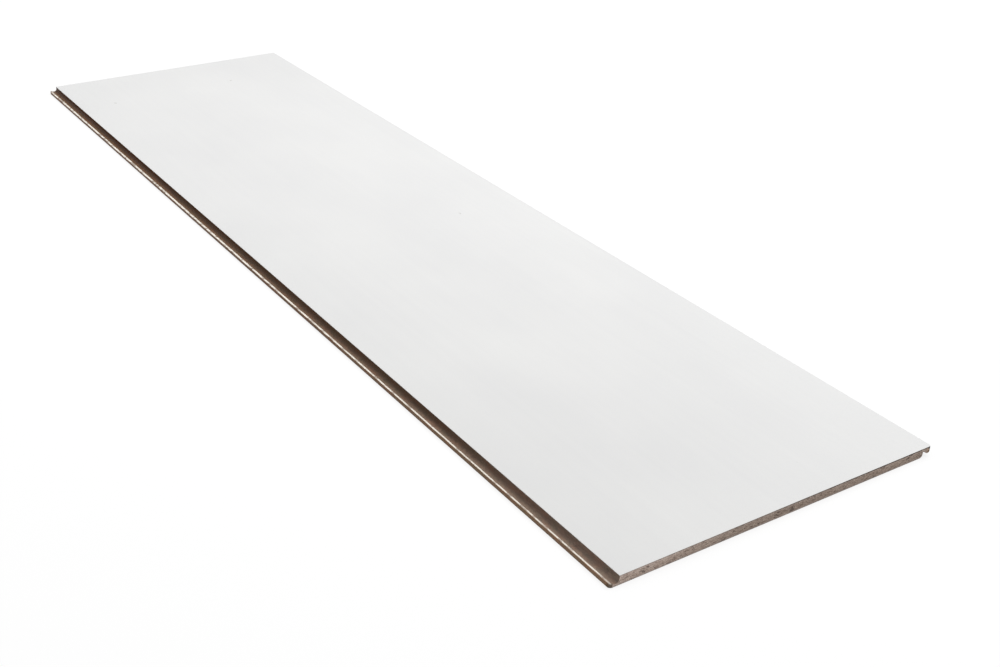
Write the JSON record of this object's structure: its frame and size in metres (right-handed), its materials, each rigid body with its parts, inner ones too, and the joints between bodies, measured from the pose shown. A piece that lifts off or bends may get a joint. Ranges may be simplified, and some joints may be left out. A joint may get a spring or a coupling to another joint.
{
  "type": "chipboard wall panel",
  "caption": "Flat white-faced chipboard sheet with a lower lip milled along one long edge and a hook along the other, so that panels lock side by side on a wall.",
  "frame": {"origin": "on the back, under the middle of the panel's outline, lower lip included", "axes": "+X along the length, +Y across the face from the lower lip to the hook, +Z out of the white face"},
  "size_m": [2.39, 0.6374, 0.016],
  "materials": {
    "board": "satin white coat on the face, dark sealed milling on the long edges, raw sawn chipboard at the ends"
  },
  "bodies": {
    "root": {"wall_panel": "board"}
  },
  "joints": []
}
